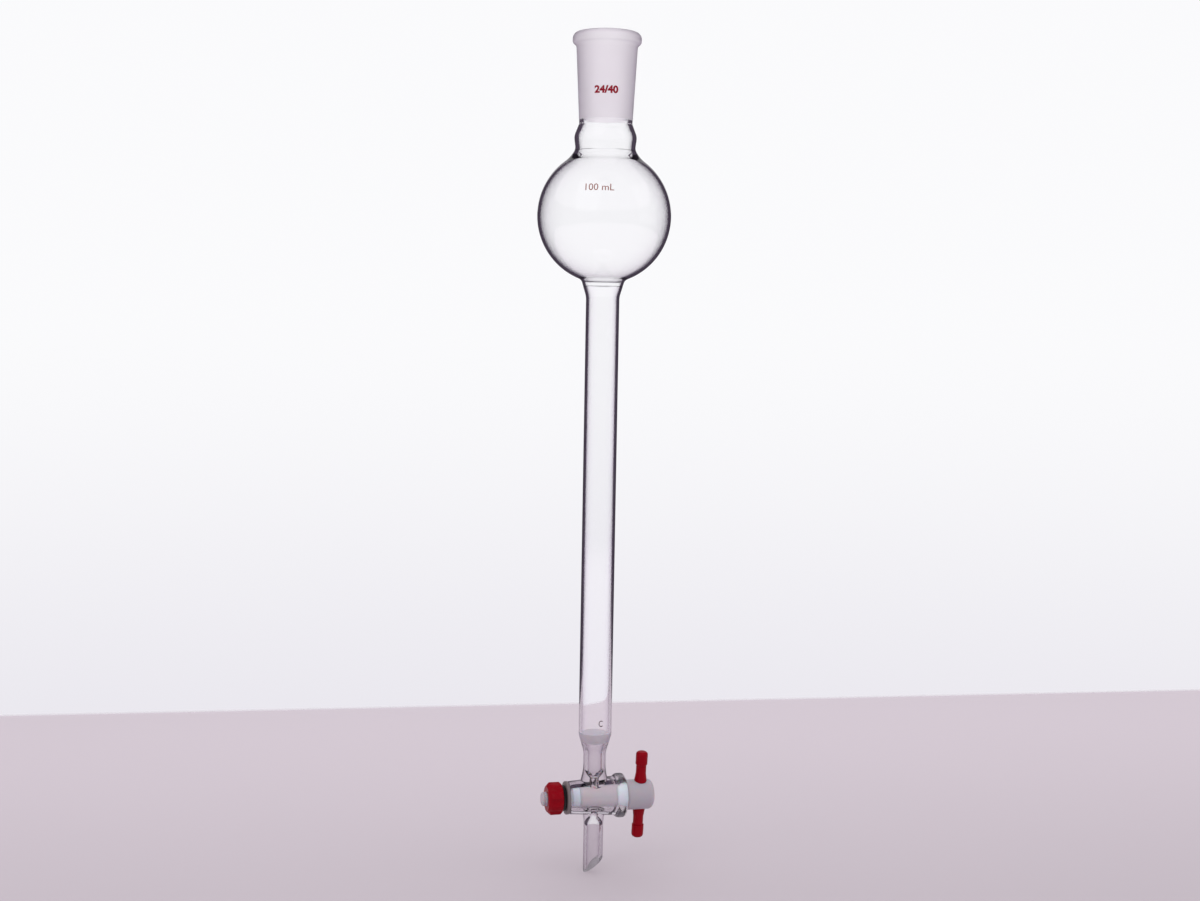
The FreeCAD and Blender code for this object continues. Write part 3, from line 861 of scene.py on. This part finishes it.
@dataclass
class LowerGlass(Assembly):
    """The column tube, its cone and stem, the stopcock barrel and the tip: one fused piece.

    Every size is in millimetres, and each pair of radii is outside and inside.

    Attributes:
        gap: Room left under the reservoir.
        flange_radii: The tube's top.
        flare: Length of the tube's flare.
        tube_radii: The tube.
        shoulder: The shoulder's drop below the disc's upper face.
        foot_radii: The glass at the disc's lower face.
        stem_radii: The stem.
        cones: Lengths of the cone under the disc, outside and inside.
        root_radius: The stem where it is fused to the barrel.
        root_rises: The fused part's two ends, above the stopcock's axis.
        port_radius: The ports through the barrel's wall.
        stem_dome: Radius and rise above the axis of the stem bore's domed end.
        tip_radii: The tip.
        tip_root: The tip where it is fused to the barrel.
        tip_root_drops: The fused part's two ends, below the axis.
        tip_dome: Radius and drop below the axis of the tip bore's domed end.
        barrel_radii: The barrel at its nut end and beside the bead.
        bead_radius: The bead rim.
        bead_starts: Where the bead begins and is full, back from the barrel's end.
        plug_radius: The plug's middle.
        plug_taper: Length over which the plug gains one millimetre of radius.
        plug_room: Room between plug and barrel.
        bevel: Length of the tip's slanted cut.
    """

    gap: float = 0.02
    flange_radii: Pair = (8.9, 7.7)
    flare: float = 4.5
    tube_radii: Pair = (7.5, 6.3)
    shoulder: float = 1.0
    foot_radii: Pair = (6.5, 5.2)
    stem_radii: Pair = (5.15, 3.1)
    cones: Pair = (4.3, 4.9)
    root_radius: float = 6.3
    root_rises: Pair = (12.6, 7.6)
    port_radius: float = 1.5
    stem_dome: tuple[Pair, ...] = ((3.1, 12.1), (2.4, 10.1), (1.5, 8.9))
    tip_radii: Pair = (4.5, 3.0)
    tip_root: float = 5.0
    tip_root_drops: Pair = (8.3, 11.5)
    tip_dome: tuple[Pair, ...] = ((1.5, 8.9), (2.4, 10.5), (3.0, 13.3))
    barrel_radii: Pair = (7.4, 8.9)
    bead_radius: float = 10.05
    bead_starts: Pair = (4.8, 4.0)
    plug_radius: float = 4.7
    plug_taper: float = 20.0
    plug_room: float = 0.04
    bevel: float = 6.9

    def build(self) -> None:
        """Fuses the walls, then opens the bores and cuts the bevel."""
        left, right, level = self.at.barrel_left, self.at.barrel_right, self.at.level
        barrel = self.make.turned([
            Corner(0, left), Corner(self.barrel_radii[0], left, 0.9),
            Corner(self.barrel_radii[1], right - self.bead_starts[0], 0.7),
            Corner(self.bead_radius, right - self.bead_starts[1], 1.3),
            Corner(self.bead_radius, right, 1.6), Corner(0, right)], Axis.STOPCOCK, 144, level)
        barrel_space = self.make.turned([
            Corner(0, left - 1), Corner(self._seat(left - 1), left - 1),
            Corner(self._seat(right + 1), right + 1), Corner(0, right + 1)], Axis.STOPCOCK, 144, level)
        tube, tube_space = self._tube()
        tip, tip_space = self._tip()
        whole = self.make.combined(tube, [barrel, tip], "UNION")
        whole = self.make.combined(
            whole, [tube_space, tip_space, barrel_space, self._slant()], "DIFFERENCE")
        self.make.tidied(whole, crisp=35.0, weld=1e-6)
        self.add(whole, "column_glass", "glass", "clear_glass",
                 ["column_tube", "lower_taper", "stopcock_barrel", "drip_tip"], TUBE, GROUND, STEM_SHADE_GLASS, BEAD)
        for face in whole.polygons:
            face.material_index = self._finish(face)

    def _seat(self, along: float) -> float:
        """Radius of the barrel's tapered bore at a place along it."""
        return self.plug_radius + along / self.plug_taper + self.plug_room

    def _tube(self) -> tuple[Mesh, Mesh]:
        """Turns the tube, cone and stem.

        Returns:
            Their outside as a solid, and the space inside them.
        """
        top, disc, level = self.at.seam - self.gap, self.at.disc_foot, self.at.level
        bend = self.at.seam - self.flare
        (outer, inner), (start, end) = self.tube_radii, self.root_rises
        dome, crown, throat = self.stem_dome
        wall = self.make.turned([
            Corner(0, top), Corner(self.flange_radii[0], top, 0.2), Corner(outer, bend, 1.6),
            Corner(outer, -self.shoulder, 0.8), Corner(self.foot_radii[0], disc, 1.0),
            Corner(self.stem_radii[0], disc - self.cones[0], 2.0),
            Corner(self.stem_radii[0], level + start, 2.6), Corner(self.root_radius, level + end),
            Corner(self.root_radius, level), Corner(0, level)])
        space = self.make.turned([
            Corner(0, top + 1), Corner(self.flange_radii[1], top + 1), Corner(self.flange_radii[1], top),
            Corner(inner, bend, 1.6), Corner(inner, 0.0, 0.3), Corner(self.foot_radii[1], disc, 0.8),
            Corner(self.stem_radii[1], disc - self.cones[1], 1.8), Corner(dome[0], level + dome[1], 1.2),
            Corner(crown[0], level + crown[1], 0.5), Corner(throat[0], level + throat[1], 0.3),
            Corner(self.port_radius, level), Corner(0, level)])
        return wall, space

    def _tip(self) -> tuple[Mesh, Mesh]:
        """Turns the drip tip.

        Returns:
            Its outside as a solid, and the space inside it.
        """
        level, end = self.at.level, self.at.tip_end
        (outer, inner), (start, full) = self.tip_radii, self.tip_root_drops
        throat, crown, dome = self.tip_dome
        wall = self.make.turned([
            Corner(0, level), Corner(self.tip_root, level), Corner(self.tip_root, level - start),
            Corner(outer, level - full, 1.4), Corner(outer, end), Corner(0, end)])
        space = self.make.turned([
            Corner(0, level), Corner(self.port_radius, level), Corner(throat[0], level - throat[1], 0.3),
            Corner(crown[0], level - crown[1], 0.8), Corner(dome[0], level - dome[1], 1.4),
            Corner(inner, end - 1), Corner(0, end - 1)])
        return wall, space

    def _slope(self) -> float:
        """How far the slanted cut rises for each millimetre across."""
        return self.bevel / (2 * self.tip_radii[0])

    def _slant(self) -> Mesh:
        """Makes the block that is cut away under the slant, wider than the tip all round.

        Returns:
            The block.
        """
        end, reach = self.at.tip_end, 6.5
        rise = self._slope() * (reach - self.tip_radii[0])
        return self.make.prism([
            (-reach, end - rise), (reach, end + self.bevel + rise), (reach, end - 5), (-reach, end - 5)], 8.0)

    def _finish(self, face: bpy.types.MeshPolygon) -> int:
        """Which of the piece's finishes a face has: tube, ground, stem greyed as painted shade, or bead.

        Args:
            face: The face.

        Returns:
            The finish's place in the slot order.
        """
        spot, level = face.center / MM, self.at.level
        if face.normal.dot(Vector((self._slope(), 0.0, -1.0)).normalized()) > 0.999 and spot.z < level:
            return 1
        across = math.hypot(spot.y, spot.z - level)
        beside = spot.x > self.at.barrel_right - self.bead_starts[0] and spot.z < level + 12
        if beside and across > self.barrel_radii[1]:
            return 3
        # Glass below the disc takes the greyed copy, painted shade.
        return 2 if spot.z < self.at.disc_foot else 0


@dataclass
class Disc(Assembly):
    """The sintered disc, a little way into the glass all round, with grains on its faces.

    Attributes:
        foot_radius: Its lower face, in millimetres.
        top_radius: Its upper face, in millimetres.
        bite: How far it goes into the glass, in millimetres.
        density: Grains to a square metre.
        grain: Radius of the largest grain, in metres.
        seed: Seed of the scatter.
    """

    foot_radius: float = 5.2
    top_radius: float = 6.3
    bite: float = 0.04
    density: float = 9.0e6
    grain: float = 0.00017
    seed: int = 7

    def build(self) -> None:
        """Turns the disc and covers it with grains."""
        foot = self.at.disc_foot
        mesh = self.make.turned([
            Corner(0, foot), Corner(self.foot_radius + self.bite, foot, 0.3),
            Corner(self.top_radius + self.bite, 0.0, 0.2), Corner(0, 0.0)], steps=96)
        mesh = self.make.grained(mesh, self.density, self.grain, self.seed, SINTERED)
        self.add(mesh, "fritted_disc_body", "glass", "sintered_glass", ["fritted_disc"], SINTERED)


@dataclass
class Stopcock(Assembly):
    """The plug with its bar and rings, and the washer, ring and nut on its tail.

    Attributes:
        nodes: The CAD nodes' objects.
        pitch: Rise of the tail's thread, in metres.
    """

    nodes: dict[str, bpy.types.Object] = field(default_factory=dict)
    pitch: float = 0.0015

    def build(self) -> None:
        """Smooths a copy of each solid and dresses it."""
        threaded = replace(PLUG, name="threaded_plug_plastic", pitch=self.pitch,
                           thread_level=self.at.level * MM)
        for node, body, slot, finishes in [
                ("stopcock_plug", "plug", "plug_plastic", (PLUG, LIT_SEATED_PLUG, threaded)),
                ("handle_bar", "plug", "red_plastic", (RED,)),
                ("seal_ring_nut_side", "plug", "seal_plastic", (SEAL,)),
                ("seal_ring_handle_side", "plug", "seal_plastic", (SEAL,)),
                ("tension_washer", "tension_seal", "washer_plastic", (WASHER,)),
                ("tension_o_ring", "tension_seal", "black_rubber", (RUBBER,)),
                ("tension_nut", "tension_nut", "red_plastic", (RED,))]:
            mesh = self.make.copied(self.nodes[node])
            self.add(mesh, node + "_skin", body, slot, [node], *finishes)
            if len(finishes) > 1:
                for face in mesh.polygons:
                    face.material_index = self._finish(face)

    def _finish(self, face: bpy.types.MeshPolygon) -> int:
        """Which of the plug's finishes a face has: open, seated with painted light, or threaded.

        Args:
            face: The face.

        Returns:
            The finish's place in the slot order.
        """
        along = face.center.x / MM
        if along <= self.at.barrel_left and abs(face.normal.x) < 0.5:
            return 2
        # Faces inside the barrel take the lighter copy, painted light.
        return 1 if self.at.barrel_left < along < self.at.barrel_right else 0


@dataclass
class Marks(Assembly):
    """The printed marks: joint size, capacity and grade letter.

    Attributes:
        upper: The upper glass, for its outside.
        tube_radius: The tube, outside, in millimetres.
        front: The way they face, in degrees about the column.
    """

    upper: UpperGlass | None = None
    tube_radius: float = 7.5
    front: float = -104.5

    def build(self) -> None:
        """Wraps each mark round the glass it is printed on."""
        glass, front = self.upper, math.radians(self.front)
        foot, top = self.at.socket_foot, self.at.socket_top - glass.head_drop
        ball = self.at.neck_foot - glass.ball_rise
        outer, widening = glass.joint_radii[0], glass.head_radius - glass.joint_radii[0]
        size = Mark("24/40", foot + 13.7, front, 10.7, 3.4, 0.045)
        capacity = Mark("100 mL", ball + 10.6, front - math.radians(4.3), 12.6, 3.0, 0.0)
        grade = Mark("C", 5.4, front + math.radians(19.5), 1.9, 2.9, 0.01)
        for mark, name, slot, finish, surface in [
                (size, "size_mark", "ground_glass", RED_INK,
                 lambda z: outer + widening * (z - foot) / (top - foot)),
                (capacity, "capacity_mark", "clear_glass", BROWN_INK,
                 lambda z: math.sqrt(glass.ball_radii[0] ** 2 - (z - ball) ** 2)),
                (grade, "grade_mark", "clear_glass", GREY_INK, lambda z: self.tube_radius)]:
            self.add(self.make.lettered(mark, surface), name, "glass", slot, [], finish)


@dataclass
class Studio:
    """Camera, floor, world and lights.

    Attributes:
        floor_level: Height of the floor, in metres.
        place: The camera's place, in metres.
        target: What it looks at, in metres.
        lens: Its focal length, in millimetres.
        roll: Its roll, in degrees.
        floor_radius: Radius of the floor, in metres.
        edge_facing: The way the floor's straight far edge faces.
        edge: Where the far edge starts and ends to fade, in metres.
        fade: Where the rest of the floor starts and ends to fade, in metres.
        near: Where the floor's painted shade is darkest and palest, from front to back, in metres.
        floor_color: Linear colour of the floor.
        low_sky: Linear colour of the backdrop low down.
        high_sky: Linear colour of the backdrop high up.
        dark: Linear colour of the surroundings that only reflections show.
        lit: What the lamps are turned to, in metres.
    """

    floor_level: float
    place: Triple = (-0.1905, -0.7368, 0.1798)
    target: Triple = (0.0, 0.0, 0.1291)
    lens: float = 50.55
    roll: float = 1.02
    floor_radius: float = 1.5
    edge_facing: Triple = (0.0724, 0.9974, 0.0)
    edge: Pair = (0.348, 0.358)
    fade: Pair = (0.9, 1.45)
    near: Pair = (-0.25, 0.3)
    floor_color: Triple = (0.635, 0.56, 0.615)
    low_sky: Rgba = (0.80, 0.78, 0.84, 1.0)
    high_sky: Rgba = (0.96, 0.96, 0.975, 1.0)
    dark: Rgba = (0.07, 0.055, 0.08, 1.0)
    lit: Triple = (0.0, 0.0, 0.12)

    def build(self) -> None:
        """Sets up the whole studio."""
        self.camera()
        self.floor()
        self.world()
        self.lamps()
        bpy.context.scene.view_settings.view_transform = "Standard"

    def camera(self) -> None:
        """A plain camera in front, a little to the nut's side, looking slightly down."""
        data = bpy.data.cameras.new("view")
        data.sensor_width = 36.0
        data.lens = self.lens
        data.clip_start, data.clip_end = 0.01, 50.0
        camera = placed("view", data)
        aimed(camera, Vector(self.place), Vector(self.target), self.roll)
        bpy.context.scene.camera = camera

    def floor(self) -> None:
        """A pale table whose far edge runs straight across behind the column, darker towards the front as
        painted shade.
        """
        work = bmesh.new()
        bmesh.ops.create_circle(work, cap_ends=True, segments=128, radius=self.floor_radius)
        mesh = bpy.data.meshes.new("floor")
        work.to_mesh(mesh)
        work.free()
        material = bpy.data.materials.new("floor")
        graph = Graph.on(material)
        place = graph.wire("ShaderNodeTexCoord", {}, {}, "Object")
        back = graph.wire("ShaderNodeVectorMath", {"operation": "DOT_PRODUCT"}, {
            0: place, 1: self.edge_facing}, "Value")
        away = graph.wire("ShaderNodeVectorMath", {"operation": "LENGTH"}, {0: place}, "Value")
        mottle = graph.wire("ShaderNodeTexNoise", {}, {
            "Vector": place, "Scale": 9.0, "Detail": 3.0}, "Fac")
        # Painted shade: the floor colour darkens towards the front.
        colour = graph.wire("ShaderNodeVectorMath", {"operation": "SCALE"}, {
            0: self.floor_color, "Scale": graph.ramp(back, self.near, (0.78, 1.0))}, "Vector")
        surface = graph.wire("ShaderNodeBsdfPrincipled", {}, {
            "Base Color": colour, "Roughness": mottle * 0.1 + 0.75, "Specular IOR Level": 0.2,
            "Alpha": graph.ramp(back, self.edge, (1.0, 0.0)) * graph.ramp(away, self.fade, (1.0, 0.0))},
            "BSDF")
        graph.node("ShaderNodeOutputMaterial", {}, {"Surface": surface})
        mesh.materials.append(material)
        floor = placed("floor", mesh)
        floor.location.z = self.floor_level

    def world(self) -> None:
        """A white backdrop, with dark surroundings that show only in reflections and glass edges."""
        world = bpy.data.worlds.new("studio")
        graph = Graph.on(world)
        path = graph.node("ShaderNodeLightPath", {}, {})
        mirrored, passed, bounced = (
            Wire(graph, path.outputs[name])
            for name in ("Glossy Depth", "Transmission Depth", "Diffuse Depth"))
        view = graph.wire("ShaderNodeNewGeometry", {}, {}, "Incoming")
        rise = graph.ramp(graph.wire("ShaderNodeSeparateXYZ", {}, {0: view}, "Z"), (0.30, -0.02))
        sky = graph.wire("ShaderNodeMix", {"data_type": "RGBA"}, {
            0: rise, 6: self.low_sky, 7: self.high_sky}, 2)
        pale = graph.wire("ShaderNodeBackground", {}, {
            "Color": sky, "Strength": graph.ramp(passed, (1.0, 4.0), (1.0, 1.09), "LINEAR")})
        dark = graph.wire("ShaderNodeBackground", {}, {"Color": self.dark})
        shown = graph.wire("ShaderNodeMixShader", {}, {
            0: (mirrored > 0.5) * (bounced < 0.5), 1: pale, 2: dark})
        graph.node("ShaderNodeOutputWorld", {}, {0: shown})
        bpy.context.scene.world = world

    def lamps(self) -> None:
        """Soft lights from both sides and above."""
        for name, place, size, power in [
                ("key", (-0.9, -0.9, 1.0), 1.1, 3.0), ("fill", (1.1, -0.5, 0.6), 0.9, 1.5),
                ("rim", (0.3, 1.2, 0.9), 0.9, 1.5)]:
            data = bpy.data.lights.new(name, "AREA")
            data.shape = "RECTANGLE"
            data.size, data.size_y = size, size * 1.4
            data.energy = power
            lamp = placed(name, data)
            lamp.visible_transmission = False
            aimed(lamp, Vector(place), Vector(self.lit))


def main() -> None:
    """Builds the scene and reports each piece."""
    logging.basicConfig(level=logging.INFO)
    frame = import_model()
    workshop = Workshop()
    modeller, places = Modeller(workshop), Places.read()
    upper = UpperGlass(modeller, places)
    for assembly in [upper, LowerGlass(modeller, places), Disc(modeller, places),
                     Stopcock(modeller, places, nodes=frame["nodes"]),
                     Marks(modeller, places, upper=upper)]:
        assembly.build()
        for piece in assembly.shown:
            LOG.info("%s: %s, %d faces", type(assembly).__name__, piece.name, len(piece.data.polygons))
    Studio(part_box("drip_tip")[0].z - FLOOR_GAP).build()


if __name__ == "__main__":
    main()
